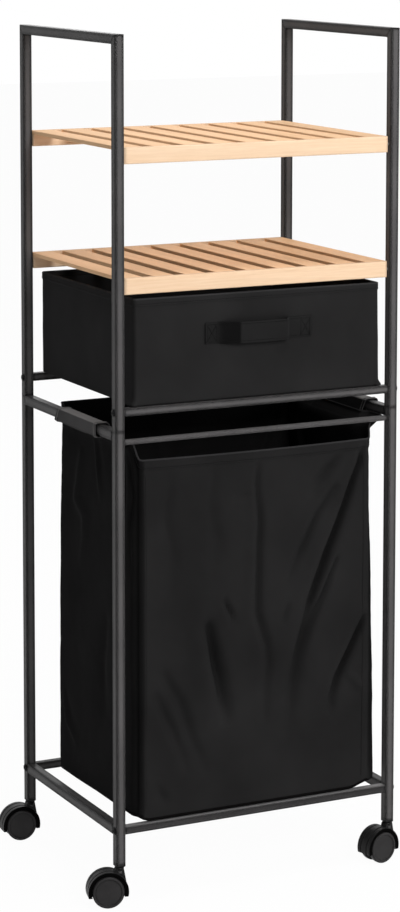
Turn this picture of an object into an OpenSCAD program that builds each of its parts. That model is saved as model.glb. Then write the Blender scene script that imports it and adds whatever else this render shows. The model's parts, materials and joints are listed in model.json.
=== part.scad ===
// Rolling bathroom rack: two side frames of square tube joined by cross rails, two slatted
// bamboo shelves, a fabric drawer, a hanging laundry bag and four twin-wheel casters.
// Millimetres. X runs to the right, Y to the back and Z up.
// The origin is on the floor, in the middle of the four posts.

/* [Rack] */
// Width over the two side frames
rack_w = 390; // [340:1:500]
// Depth over the posts
rack_d = 290; // [250:1:360]
// Height from the floor to the top of the side frames
rack_h = 1065; // [1000:1:1300]

/* [Frame] */
// Side of the square post tube
tube = 12; // [11:0.5:15]
// Wall of the post tube
tube_wall = 1; // [0.8:0.1:1.5]
// Radius of the post tube's outer edges
tube_round = 1.2; // [0.4:0.1:2]
// Height of the top of the rails that carry the bag, where the posts also come apart
bag_rail_top = 588; // [500:1:593]
// Height of the middle of the rails that carry the drawer
drawer_rail_z = 611; // [605:1:640]
// Height of the middle of the bottom rails
bottom_rail_z = 94; // [89:1:99]
// Side of the square cross rail
rail = 10; // [8:0.5:11]
// Wall of the cross rail
rail_wall = 1; // [0.8:0.1:1.4]
// Diameter of the bar in front of the bag
front_bar_d = 7; // [5:0.5:9]
// Distance from the top of the bag rails down to the middle of the front bar
front_bar_drop = 14; // [8:1:16]

/* [Fasteners] */
// Diameter of the rail bolts
bolt_d = 5; // [4:0.5:6]
// Diameter of a bolt's rounded head
bolt_head_d = 9; // [8:0.5:11]
// Height of a bolt's rounded head
bolt_head_h = 2.2; // [1.5:0.1:3]
// Length of a bolt's shank
bolt_length = 24; // [20:1:30]
// Length of the nut plug inside a rail end
nut_length = 14; // [12:1:20]
// Diameter of the hidden shelf pins
shelf_pin_d = 4; // [3:0.5:5]
// Distance from a shelf's outer face to the middle of its pins
shelf_pin_setback = 4; // [3.5:0.5:5]
// Depth of a shelf pin in the shelf
shelf_pin_depth = 10; // [8:1:20]

/* [Shelves] */
// Height of the upper shelf's top
upper_shelf_z = 930; // [880:1:960]
// Height of the lower shelf's top
lower_shelf_z = 773; // [770:1:820]
// Height of a shelf's front and back rails
shelf_rail_h = 20; // [18:1:26]
// Thickness of a shelf's front and back rails
shelf_rail_t = 12; // [11:0.5:15]
// Width of a slat
slat_w = 28; // [20:1:40]
// Thickness of a slat
slat_t = 5; // [4:0.5:6.5]
// Widest gap wanted between two slats
slat_gap = 14.5; // [8:0.5:24]
// How far a slat reaches into a rail's rebate
slat_seat = 6; // [4:0.5:8]
// Radius of a shelf's corners seen from above
shelf_corner = 5; // [2:0.5:7]

/* [Drawer] */
// Height of the fabric drawer
drawer_h = 130.7; // [100:0.1:132]
// Thickness of the drawer's fabric wall
drawer_wall = 3; // [2:0.5:5]
// Gap between the drawer and the posts
drawer_side_gap = 14; // [4:1:25]
// How far the drawer's front lies behind the posts' front
drawer_front_inset = 3.3; // [1:0.1:6]
// Length of the pull strap
strap_length = 150; // [120:1:200]
// Width of the pull strap
strap_w = 29; // [20:1:40]
// Thickness of the pull strap
strap_t = 2; // [1.5:0.5:3]
// How far the middle of the strap stands off the drawer
strap_stand = 12.3; // [10:0.1:16]
// Length of the strap's flat middle
strap_flat = 64; // [50:1:70]
// Length of each stitched end of the strap
strap_end = 16; // [12:1:22]
// Height of the strap's middle above the drawer's bottom
strap_z = 81.7; // [60:0.1:90]
// How far the strap is sewn to the right of the middle
strap_shift = 3; // [-10:1:10]

/* [Laundry bag] */
// Width of the bag
bag_w = 334; // [240:1:340]
// Depth of the bag
bag_d = 220; // [170:1:250]
// Height of the bag's bottom above the floor
bag_bottom_z = 107; // [105:1:140]
// Distance from the top of the bag rails down to the bag's hem
bag_hem_drop = 38; // [30:1:60]
// How far the bag's back reaches above the hem
bag_back_rise = 36; // [0:1:45]
// Thickness of the bag's fabric wall
bag_wall = 2.5; // [1.5:0.5:3]
// How far the bag hangs to the right of the middle, or to the left below zero
bag_shift = -1; // [-4:0.5:4]
// How far the bag's front lies behind the posts' front
bag_front_inset = 4; // [2:0.5:8]
// Length of a sleeve along its rail
sleeve_length = 120; // [80:1:150]
// Distance from the bag's front to the sleeves
sleeve_setback = 49; // [20:1:60]
// Thickness of the sleeve's folded fabric
sleeve_t = 2; // [1.5:0.5:3]
// Room beside the rail inside a sleeve
sleeve_slack = 1; // [0.5:0.5:2]
// Room below the rail inside a sleeve
sleeve_sag = 3; // [1:0.5:6]
// Thickness of the stiffening boards in the bag and the drawer
board_t = 2.5; // [1.5:0.5:4]

/* [Casters] */
// Diameter of a caster wheel
wheel_d = 40; // [34:1:48]
// Width of one wheel
wheel_w = 6.2; // [5:0.1:8]
// Diameter of the caster's axle pin
axle_d = 5; // [4:0.5:6]
// Width of the hood's middle, between the wheels
web_w = 10; // [10:0.5:14]
// Distance from the swivel to the axle
trail = 15; // [14:0.5:20]
// Thickness of the hood over the wheels
hood_t = 3.7; // [3:0.1:5]
// Height of the hood's neck above the cover over the wheels
neck_rise = 3.7; // [0:0.1:8]
// How far the hood reaches below the axle
hood_below = 6; // [4:0.5:9]
// Diameter of the steel stem
stem_d = 6; // [5:0.5:6]
// Diameter of the hood's neck round the stem
neck_d = 9.4; // [9:0.1:11]
// Height of the plug's collar below the post
collar_h = 3.5; // [3:0.5:6]
// Height of the plug inside the post
plug_h = 25; // [18:1:30]

/* [Clearances] */
// Play all round between a plug, nut or joiner and its tube
plug_play = 0.1; // [0.05:0.05:0.2]
// Play all round between a pin, bolt or stem and its bore
bore_play = 0.05; // [0.02:0.01:0.1]
// Play all round between a bolt and the holes in the post
bolt_hole_play = 0.15; // [0.1:0.05:0.4]
// Gap between a turning wheel and the hood's middle
wheel_gap = 0.3; // [0.2:0.1:0.6]
// Gap between a wheel's tread and the hood over it
tread_gap = 0.8; // [0.5:0.1:1.2]
// Gap between the turning hood and the plug
swivel_gap = 0.3; // [0.2:0.1:0.6]
// Gap between a fabric piece and what carries it
rest_gap = 0.3; // [0.2:0.1:0.5]
// Gap at each end of a shelf
shelf_end_gap = 0.5; // [0.3:0.1:1]
// Gap round a stiffening board
board_gap = 1; // [0.5:0.5:3]

/* [Hidden] */
$fn = 48;
cut = 1;

// Posts and rails
post_x = (rack_w - tube)/2;
post_y = (rack_d - tube)/2;
inner_w = rack_w - 2*tube;
tube_inside = tube - 2*tube_wall;
rail_inside = rail - 2*rail_wall;
axle_z = wheel_d/2;
hood_r = wheel_d/2 + tread_gap + hood_t;
neck_top_z = axle_z + hood_r + neck_rise;
collar_z = neck_top_z + swivel_gap;
post_foot_z = collar_z + collar_h;
seam_z = bag_rail_top;
joiner_gap = 4;
joiner_top = drawer_rail_z - bolt_d/2 - joiner_gap;
joiner_below = 20;

// Shelves
shelf_w = inner_w - 2*shelf_end_gap;
shelf_front_inset = 3;
shelf_d = rack_d - 2*shelf_front_inset;
slat_count = ceil((shelf_w + slat_gap)/(slat_w + slat_gap));
slat_pitch = (shelf_w - slat_w)/(slat_count - 1);
slat_length = shelf_d - 2*(shelf_rail_t - slat_seat);
slat_round = 0.9;
shelf_round = 1.4;
pin_end_gap = 1;

// Drawer
drawer_w = inner_w - 2*drawer_side_gap;
drawer_front_y = -rack_d/2 + drawer_front_inset;
drawer_back_inset = 1;
drawer_d = post_y - drawer_back_inset - drawer_front_y;
drawer_z = drawer_rail_z + rail/2 + rest_gap;
drawer_round = 3;

// Laundry bag
bag_front_y = -rack_d/2 + bag_front_inset;
bag_top_z = bag_rail_top - bag_hem_drop;
bag_round = 10;
sleeve_w = tube + 2*sleeve_slack + 2*sleeve_t;
sleeve_top = bag_rail_top + rest_gap + sleeve_t;
sleeve_bottom = bag_rail_top - tube - sleeve_sag - sleeve_t;
sleeve_y = bag_front_y + sleeve_setback;
flare_h = 10;

// Casters
collar_chamfer = 1.6;
stem_depth = 14;
stem_end_gap = 1;
plug_cap = 2;
hub_depth = 4.6;
axle_end_gap = 0.3;
axle_length = web_w + 2*(wheel_gap + hub_depth - axle_end_gap);
hood_w = web_w + 2*(wheel_gap + wheel_w);
hub_recess = 0.5;
tread_round = 1.6;

// Colours
METAL = "#46464a";
BAMBOO = "#e6c39a";
FABRIC = "#242427";
PLASTIC = "#303032";
STEEL = "#b9bcc0";
CARD = "#8f7b62";

// Each corner's name, its side in X and Y, the way its caster trails and its outer wheel's side
CORNERS = [
    ["front_left", -1, -1, 165, 1],
    ["front_right", 1, -1, 192, 1],
    ["rear_left", -1, 1, 175, -1],
    ["rear_right", 1, 1, 15, 1]
];
SIDES = [["left", -1], ["right", 1]];
ENDS = [["front", -1], ["rear", 1]];
SHELVES = [["upper", upper_shelf_z], ["lower", lower_shelf_z]];

// Shared shapes
module rounded_rect(w, h, r) {
    square([w, h - 2*r], center=true);
    square([w - 2*r, h], center=true);
    for (x = [-1, 1], y = [-1, 1])
        translate([x*(w/2 - r), y*(h/2 - r)])
            circle(r);
}

module tube_section(side, wall, round) {
    difference() {
        rounded_rect(side, side, round);
        square(side - 2*wall, center=true);
    }
}

// Turns a profile drawn in X and Y into one drawn in Y and Z, and extrudes it along X
module along_x(length) {
    rotate([90, 0, 90])
        linear_extrude(length, center=true)
            children();
}

// Turns a profile drawn in X and Y into one drawn in X and Z, and extrudes it along Y
module along_y(length) {
    rotate([90, 0, 0])
        linear_extrude(length, center=true)
            children();
}

// Side frames
module upper_post(corner) {
    height = rack_h - seam_z;
    edge_y = corner[2]*rack_d/2;
    color(METAL)
        difference() {
            translate([corner[1]*post_x, corner[2]*post_y, seam_z])
                linear_extrude(height)
                    tube_section(tube, tube_wall, tube_round);
            translate([corner[1]*post_x, 0, 0])
                along_x(tube + 2*cut)
                    polygon([
                        [edge_y + corner[2]*cut, rack_h + cut],
                        [edge_y - corner[2]*2*tube, rack_h - 2*tube],
                        [edge_y - corner[2]*2*tube, rack_h + cut]
                    ]);
            translate([corner[1]*post_x, corner[2]*post_y, drawer_rail_z])
                bolt_hole();
            for (shelf = SHELVES)
                shelf_pin_hole(corner, shelf[1]);
        }
}

module lower_post(corner) {
    color(METAL)
        difference() {
            translate([corner[1]*post_x, corner[2]*post_y, post_foot_z])
                linear_extrude(seam_z - post_foot_z)
                    tube_section(tube, tube_wall, tube_round);
            translate([corner[1]*post_x, corner[2]*post_y, bottom_rail_z])
                bolt_hole();
        }
}

module bolt_hole() {
    rotate([0, 90, 0])
        cylinder(d=bolt_d + 2*bolt_hole_play, h=tube + 2*cut, center=true);
}

function shelf_pin_y(corner) = corner[2]*(shelf_d/2 - shelf_pin_setback);
function shelf_pin_z(top) = top - shelf_rail_h/2;

// The hole through the post's inner wall only
module shelf_pin_hole(corner, top) {
    translate([corner[1]*(inner_w/2 + tube/4), shelf_pin_y(corner), shelf_pin_z(top)])
        rotate([0, 90, 0])
            cylinder(d=shelf_pin_d + 2*bore_play, h=tube/2 + 2*cut, center=true);
}

module top_bar(side) {
    color(METAL)
        difference() {
            translate([side*post_x, 0, rack_h - tube/2])
                along_y(rack_d)
                    tube_section(tube, tube_wall, tube_round);
            for (end = [-1, 1])
                translate([side*post_x, 0, 0])
                    along_x(tube + 2*cut)
                        polygon([
                            [end*(rack_d/2 + cut), rack_h + cut],
                            [end*(rack_d/2 - tube - cut), rack_h - tube - cut],
                            [end*(rack_d/2 + cut), rack_h - tube - cut]
                        ]);
        }
}

// A rail of the post tube between the front and the rear post of one side
module side_rail(side, middle_z) {
    color(METAL)
        translate([side*post_x, 0, middle_z])
            along_y(rack_d - 2*tube)
                tube_section(tube, tube_wall, tube_round);
}

// A bolted rail from the left to the right side frame
module cross_rail(end, middle_z) {
    color(METAL)
        translate([0, end*post_y, middle_z])
            along_x(inner_w)
                tube_section(rail, rail_wall, tube_round*rail/tube);
}

module front_bar() {
    color(METAL)
        translate([0, -post_y, bag_rail_top - front_bar_drop])
            rotate([0, 90, 0])
                cylinder(d=front_bar_d, h=inner_w, center=true);
}

module post_joiners() {
    side = tube_inside - 2*plug_play;
    color(PLASTIC)
        for (corner = CORNERS)
            translate([corner[1]*post_x, corner[2]*post_y, seam_z - joiner_below])
                linear_extrude(joiner_top - seam_z + joiner_below)
                    square(side, center=true);
}

// Fasteners, all drawn with their axis along X and repeated at every rail end
module at_rail_ends() {
    for (side = [-1, 1], end = [-1, 1], z = [bottom_rail_z, drawer_rail_z])
        translate([side*rack_w/2, end*post_y, z])
            rotate([0, side*90, 0])
                children();
}

module rail_bolts() {
    socket = 3;
    socket_depth = 1.4;
    color(METAL)
        at_rail_ends()
            difference() {
                union() {
                    translate([0, 0, -bolt_length])
                        cylinder(d=bolt_d, h=bolt_length);
                    rotate_extrude()
                        polygon([
                            [0, 0],
                            [bolt_head_d/2, 0],
                            [bolt_head_d/2, bolt_head_h*0.3],
                            [bolt_head_d*0.42, bolt_head_h*0.72],
                            [bolt_head_d*0.25, bolt_head_h],
                            [0, bolt_head_h]
                        ]);
                }
                translate([0, 0, bolt_head_h - socket_depth])
                    cylinder(d=socket*2/sqrt(3), h=socket_depth + cut, $fn=6);
            }
}

module rail_nuts() {
    side = rail_inside - 2*plug_play;
    color(STEEL)
        at_rail_ends()
            translate([0, 0, -tube - nut_length])
                linear_extrude(nut_length)
                    difference() {
                        square(side, center=true);
                        circle(d=bolt_d + 2*bore_play);
                    }
}

module shelf_pins() {
    inner_end = shelf_w/2 - shelf_pin_depth;
    outer_end = rack_w/2 - tube_wall - plug_play;
    color(STEEL)
        for (corner = CORNERS, shelf = SHELVES)
            translate([corner[1]*inner_end, shelf_pin_y(corner), shelf_pin_z(shelf[1])])
                rotate([0, corner[1]*90, 0])
                    cylinder(d=shelf_pin_d, h=outer_end - inner_end);
}

// Shelves
module shelf_rail(end, top) {
    outer_y = end*shelf_d/2;
    hole_depth = shelf_pin_depth + pin_end_gap;
    hole_x = (shelf_w - hole_depth + cut)/2;
    color(BAMBOO)
        translate([0, 0, top - shelf_rail_h/2])
            difference() {
                intersection() {
                    translate([0, outer_y - end*shelf_rail_t/2, 0])
                        along_x(shelf_w)
                            rounded_rect(shelf_rail_t, shelf_rail_h, shelf_round);
                    linear_extrude(shelf_rail_h, center=true)
                        rounded_rect(shelf_w, shelf_d, shelf_corner);
                }
                translate([0, outer_y - end*shelf_rail_t, shelf_rail_h/2])
                    cube([shelf_w + 2*cut, 2*slat_seat, 2*slat_t], center=true);
                for (side = [-1, 1])
                    translate([side*hole_x, outer_y - end*shelf_pin_setback, 0])
                        rotate([0, 90, 0])
                            cylinder(d=shelf_pin_d + 2*bore_play, h=hole_depth + cut, center=true);
            }
}

module shelf_slats(top) {
    color(BAMBOO)
        for (i = [0:slat_count - 1])
            translate([(i - (slat_count - 1)/2)*slat_pitch, 0, top - slat_t/2])
                along_y(slat_length)
                    rounded_rect(slat_w, slat_t, slat_round);
}

// Drawer
module drawer_box() {
    color(FABRIC)
        translate([0, drawer_front_y + drawer_d/2, drawer_z])
            difference() {
                linear_extrude(drawer_h)
                    rounded_rect(drawer_w, drawer_d, drawer_round);
                translate([0, 0, drawer_wall])
                    linear_extrude(drawer_h)
                        square([drawer_w - 2*drawer_wall, drawer_d - 2*drawer_wall], center=true);
            }
}

module drawer_board() {
    inset = drawer_wall + board_gap;
    color(CARD)
        translate([0, drawer_front_y + drawer_d/2, drawer_z + drawer_wall])
            linear_extrude(board_t)
                square([drawer_w - 2*inset, drawer_d - 2*inset], center=true);
}

// The strap is sewn down at both ends and stands off in the middle, so fingers go behind it
module drawer_strap() {
    half = strap_length/2;
    sewn = half - strap_end;
    flat = strap_flat/2;
    outer = [[-half, -strap_t], [-sewn, -strap_t], [-flat, -strap_stand], [flat, -strap_stand],
        [sewn, -strap_t], [half, -strap_t]];
    inner = [[half, 0], [sewn, 0], [flat, strap_t - strap_stand], [-flat, strap_t - strap_stand],
        [-sewn, 0], [-half, 0]];
    color(FABRIC)
        translate([strap_shift, drawer_front_y, drawer_z + strap_z - strap_w/2])
            linear_extrude(strap_w)
                polygon(concat(outer, inner));
}

// Laundry bag
function bag_side_x(side) = bag_shift + side*bag_w/2;

module bag_body() {
    bag_h = bag_top_z - bag_bottom_z;
    color(FABRIC) {
        translate([bag_shift, bag_front_y + bag_d/2, bag_bottom_z])
            difference() {
                linear_extrude(bag_h)
                    rounded_rect(bag_w, bag_d, bag_round);
                translate([0, 0, bag_wall])
                    linear_extrude(bag_h)
                        rounded_rect(bag_w - 2*bag_wall, bag_d - 2*bag_wall, bag_round - bag_wall);
            }
        translate([bag_shift, bag_front_y + bag_d - bag_wall/2, bag_top_z - flare_h])
            linear_extrude(flare_h + bag_back_rise)
                square([bag_w - 2*bag_round, bag_wall], center=true);
        for (side = [-1, 1])
            bag_flap(side);
    }
}

// The top of a side panel, drawn outwards to the rail
module bag_flap(side) {
    wall_x = bag_side_x(side);
    tip_x = side*(inner_w/2 - sleeve_slack);
    color(FABRIC)
        translate([0, bag_front_y + bag_d/2, 0])
            along_y(bag_d - 2*bag_round)
                polygon([
                    [wall_x, bag_top_z - flare_h],
                    [tip_x, sleeve_bottom],
                    [tip_x - side*bag_wall, sleeve_bottom],
                    [wall_x - side*bag_wall, bag_top_z],
                    [wall_x - side*bag_wall, bag_top_z - flare_h]
                ]);
}

module bag_board() {
    inset = bag_wall + board_gap;
    color(CARD)
        translate([bag_shift, bag_front_y + bag_d/2, bag_bottom_z + bag_wall])
            linear_extrude(board_t)
                rounded_rect(bag_w - 2*inset, bag_d - 2*inset, bag_round);
}

module bag_sleeve(side) {
    middle_z = (sleeve_top + sleeve_bottom)/2;
    height = sleeve_top - sleeve_bottom;
    color(FABRIC)
        translate([side*post_x, sleeve_y + sleeve_length/2, middle_z])
            along_y(sleeve_length)
                difference() {
                    rounded_rect(sleeve_w, height, sleeve_t);
                    square([sleeve_w - 2*sleeve_t, height - 2*sleeve_t], center=true);
                }
}

// Casters, drawn with the swivel on the Z axis and the axle trailing along X
module at_corner(corner) {
    translate([corner[1]*post_x, corner[2]*post_y, 0])
        children();
}

module caster_turned(corner) {
    at_corner(corner)
        rotate([0, 0, corner[3]])
            children();
}

module caster_plug(corner) {
    chamfer_side = collar_chamfer*sqrt(2);
    color(PLASTIC)
        at_corner(corner)
            difference() {
                union() {
                    translate([0, 0, post_foot_z])
                        linear_extrude(plug_h)
                            square(tube_inside - 2*plug_play, center=true);
                    translate([0, 0, collar_z])
                        linear_extrude(collar_h)
                            rounded_rect(tube, tube, tube_round);
                }
                for (turn = [0:90:270])
                    rotate([0, 0, turn])
                        translate([tube/2, 0, collar_z])
                            rotate([0, 45, 0])
                                cube([chamfer_side, tube + 2*cut, chamfer_side], center=true);
                translate([0, 0, collar_z - cut])
                    cylinder(d=stem_d + 2*bore_play, h=collar_h + plug_h - plug_cap + cut);
            }
}

module caster_stem(corner) {
    top = post_foot_z + plug_h - plug_cap - stem_end_gap;
    color(STEEL)
        at_corner(corner)
            translate([0, 0, neck_top_z - stem_depth])
                cylinder(d=stem_d, h=top - neck_top_z + stem_depth);
}

// A disc round the axle
module axle_disc(radius, width) {
    translate([trail, 0, axle_z])
        rotate([90, 0, 0])
            cylinder(r=radius, h=width, center=true);
}

module caster_hood(corner) {
    nose_angle = 12;
    collar_reach = tube/2*sqrt(2) + 2*swivel_gap;
    color(PLASTIC)
        caster_turned(corner)
            difference() {
                union() {
                    axle_disc(hood_r, hood_w);
                    translate([0, 0, axle_z])
                        cylinder(d=neck_d, h=neck_top_z - axle_z);
                    along_y(neck_d)
                        polygon([
                            [-neck_d/2, neck_top_z],
                            [neck_d/2, neck_top_z],
                            [trail, axle_z],
                            [trail - hood_r*cos(nose_angle), axle_z + hood_r*sin(nose_angle)]
                        ]);
                }
                for (side = [-1, 1])
                    translate([0, side*(web_w/2 + hood_w/2), 0])
                        axle_disc(wheel_d/2 + tread_gap, hood_w);
                translate([0, -hood_w, -hood_below])
                    cube([2*(trail + hood_r), 2*hood_w, axle_z]);
                translate([-trail - hood_r, -hood_w, -hood_below])
                    cube([2*(trail + hood_r), 2*hood_w, axle_z]);
                translate([0, 0, neck_top_z])
                    cylinder(r=collar_reach, h=hood_r);
                axle_disc(axle_d/2 + bore_play, hood_w + 2*cut);
                translate([0, 0, neck_top_z - stem_depth])
                    cylinder(d=stem_d + 2*bore_play, h=stem_depth + cut);
            }
}

module caster_axle(corner) {
    color(STEEL)
        caster_turned(corner)
            axle_disc(axle_d/2, axle_length);
}

// A wheel on one side of the hood, its closed face outwards
module wheel(corner, side) {
    r = wheel_d/2;
    rim = 3.6;
    color(PLASTIC)
        caster_turned(corner)
            translate([trail, side*(web_w/2 + wheel_gap), axle_z])
                rotate([-side*90, 0, 0])
                    difference() {
                        rotate_extrude()
                            polygon(concat(
                                [[0, 0], [r - tread_round/2, 0], [r, tread_round/2]],
                                [for (a = [0:30:90]) [r - tread_round*(1 - cos(a)),
                                    wheel_w - tread_round*(1 - sin(a))]],
                                [[r - rim, wheel_w], [r - rim - hub_recess, wheel_w - hub_recess],
                                    [0, wheel_w - hub_recess]]
                            ));
                        translate([0, 0, -cut])
                            cylinder(d=axle_d + 2*bore_play, h=hub_depth + cut);
                    }
}

for (c = CORNERS) {
    upper_post(c);
    lower_post(c);
    caster_plug(c);
    caster_stem(c);
    caster_hood(c);
    caster_axle(c);
    wheel(c, c[4]);
    wheel(c, -c[4]);
}
for (s = SIDES) {
    top_bar(s[1]);
    side_rail(s[1], bag_rail_top - tube/2);
    side_rail(s[1], bottom_rail_z);
    bag_sleeve(s[1]);
}
for (e = ENDS) {
    cross_rail(e[1], drawer_rail_z);
    cross_rail(e[1], bottom_rail_z);
}
for (s = SHELVES) {
    for (e = ENDS)
        shelf_rail(e[1], s[1]);
    shelf_slats(s[1]);
}
front_bar();
post_joiners();
rail_bolts();
rail_nuts();
shelf_pins();
drawer_box();
drawer_board();
drawer_strap();
bag_body();
bag_board();
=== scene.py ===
import bpy
import json
import math
import numpy as np
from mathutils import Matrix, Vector, noise


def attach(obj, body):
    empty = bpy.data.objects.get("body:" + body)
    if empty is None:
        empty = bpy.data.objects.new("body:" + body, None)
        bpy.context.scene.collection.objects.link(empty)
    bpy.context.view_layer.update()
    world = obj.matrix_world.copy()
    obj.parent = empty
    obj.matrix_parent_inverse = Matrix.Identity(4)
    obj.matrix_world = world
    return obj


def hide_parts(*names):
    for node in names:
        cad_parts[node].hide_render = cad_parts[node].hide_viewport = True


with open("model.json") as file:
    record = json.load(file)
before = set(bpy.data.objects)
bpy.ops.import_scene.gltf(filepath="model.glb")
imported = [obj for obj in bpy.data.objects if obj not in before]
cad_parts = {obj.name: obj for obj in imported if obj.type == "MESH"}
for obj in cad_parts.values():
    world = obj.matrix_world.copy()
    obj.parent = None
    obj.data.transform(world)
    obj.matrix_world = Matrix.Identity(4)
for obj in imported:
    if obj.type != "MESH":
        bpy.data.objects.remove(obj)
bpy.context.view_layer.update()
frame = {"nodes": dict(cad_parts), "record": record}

# Shapes are in mm, with the front towards -Y. Lights and materials are in metres.
MM = 0.001
PHOTO_W, PHOTO_H = 400, 912
scene = bpy.context.scene


# Camera: its place in mm, its angles in degrees and its lens in the photograph's pixels
CAMERA_MM = (-1565.91, -3115.98, 1222.33)
CAMERA_YAW, CAMERA_PITCH = 26.146, 6.187
FOCAL_PX, CENTRE_X_PX = 2771.47, 181.4
SENSOR_MM = 36.0
SHIFT_UP = -0.28

camera_data = bpy.data.cameras.new("camera")
camera = bpy.data.objects.new("camera", camera_data)
scene.collection.objects.link(camera)
scene.camera = camera
camera.location = Vector(CAMERA_MM)*MM
camera.rotation_euler = (math.radians(90 - CAMERA_PITCH), 0, math.radians(-CAMERA_YAW))
camera_data.sensor_width = SENSOR_MM
camera_data.lens = FOCAL_PX*SENSOR_MM/PHOTO_H
camera_data.shift_x = (PHOTO_W/2 - CENTRE_X_PX)/PHOTO_H
camera_data.shift_y = SHIFT_UP
camera_data.clip_start = 0.05
camera_data.clip_end = 50


# Light
scene.view_settings.view_transform = "Standard"


def sees_background(tree):
    """1 for camera, glossy and transmission rays, which show the white background."""
    path = tree.nodes.new("ShaderNodeLightPath")
    both = tree.nodes.new("ShaderNodeMath")
    both.operation = "MAXIMUM"
    tree.links.new(path.outputs["Is Camera Ray"], both.inputs[0])
    tree.links.new(path.outputs["Is Glossy Ray"], both.inputs[1])
    every = tree.nodes.new("ShaderNodeMath")
    every.operation = "MAXIMUM"
    tree.links.new(both.outputs[0], every.inputs[0])
    tree.links.new(path.outputs["Is Transmission Ray"], every.inputs[1])
    return every.outputs[0]


world = bpy.data.worlds.new("studio")
scene.world = world
world.use_nodes = True
tree = world.node_tree
tree.nodes.clear()
ambient = tree.nodes.new("ShaderNodeBackground")
ambient.inputs["Color"].default_value = (0.97, 0.985, 1, 1)
ambient.inputs["Strength"].default_value = 0.2
white = tree.nodes.new("ShaderNodeBackground")
white.inputs["Color"].default_value = (1, 1, 1, 1)
white.inputs["Strength"].default_value = 1
mix = tree.nodes.new("ShaderNodeMixShader")
tree.links.new(sees_background(tree), mix.inputs[0])
tree.links.new(ambient.outputs[0], mix.inputs[1])
tree.links.new(white.outputs[0], mix.inputs[2])
output = tree.nodes.new("ShaderNodeOutputWorld")
tree.links.new(mix.outputs[0], output.inputs["Surface"])


def softbox(name, place, target, size, watts):
    """A rectangular lamp that faces its target. Lengths are in metres."""
    data = bpy.data.lights.new(name, "AREA")
    data.shape = "RECTANGLE"
    data.size, data.size_y = size
    data.energy = watts
    lamp = bpy.data.objects.new(name, data)
    scene.collection.objects.link(lamp)
    lamp.location = place
    towards = Vector(target) - Vector(place)
    lamp.rotation_euler = towards.to_track_quat("-Z", "Y").to_euler()


softbox("key", (0.1, -3.5, 2.2), (0, 0, 0.64), (1.1, 1.2), 84)
softbox("top", (0.1, -0.5, 3.4), (0, 0, 0.9), (1.8, 1.6), 46)
softbox("fill", (2.7, -1.7, 1.2), (0, 0, 0.55), (1.0, 1.6), 26)
softbox("side", (-3.2, -0.6, 1.3), (0, 0, 0.6), (1.4, 2.0), 2)
softbox("back", (0.8, 3.2, 2.0), (0, 0, 0.7), (2.0, 1.6), 14)


# Floor
FLOOR_HALF = 14
# The share of its white that is its own glow for the camera: only the rest takes a shadow
FLOOR_GLOW = 0.97


def floor_material():
    material = bpy.data.materials.new("floor")
    material.use_nodes = True
    tree = material.node_tree
    tree.nodes.clear()
    paper = tree.nodes.new("ShaderNodeBsdfDiffuse")
    grain = tree.nodes.new("ShaderNodeTexNoise")
    grain.inputs["Scale"].default_value = 3
    tint = tree.nodes.new("ShaderNodeMixRGB")
    tint.inputs[1].default_value = (0.9, 0.9, 0.9, 1)
    tint.inputs[2].default_value = (0.93, 0.93, 0.925, 1)
    tree.links.new(grain.outputs["Fac"], tint.inputs[0])
    tree.links.new(tint.outputs[0], paper.inputs["Color"])
    glow = tree.nodes.new("ShaderNodeEmission")
    glow.inputs["Strength"].default_value = 1
    share = tree.nodes.new("ShaderNodeMath")
    share.operation = "MULTIPLY"
    share.inputs[1].default_value = FLOOR_GLOW
    tree.links.new(sees_background(tree), share.inputs[0])
    mix = tree.nodes.new("ShaderNodeMixShader")
    tree.links.new(share.outputs[0], mix.inputs[0])
    tree.links.new(paper.outputs[0], mix.inputs[1])
    tree.links.new(glow.outputs[0], mix.inputs[2])
    output = tree.nodes.new("ShaderNodeOutputMaterial")
    tree.links.new(mix.outputs[0], output.inputs["Surface"])
    return material


floor_mesh = bpy.data.meshes.new("floor")
floor_points = [(x*FLOOR_HALF, y*FLOOR_HALF, 0) for x, y in ((-1, -1), (1, -1), (1, 1), (-1, 1))]
floor_mesh.from_pydata(floor_points, [], [(0, 1, 2, 3)])
floor = bpy.data.objects.new("floor", floor_mesh)
scene.collection.objects.link(floor)
floor.data.materials.append(floor_material())


# Materials
NEARLY_BLACK = (0.0015, 0.0015, 0.0015)
# The width of one thread of the cloth, and the reach of the painted shade in its hollows, in metres
THREAD_WIDTH = 0.0009
SHADE_REACH = 0.014


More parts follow.
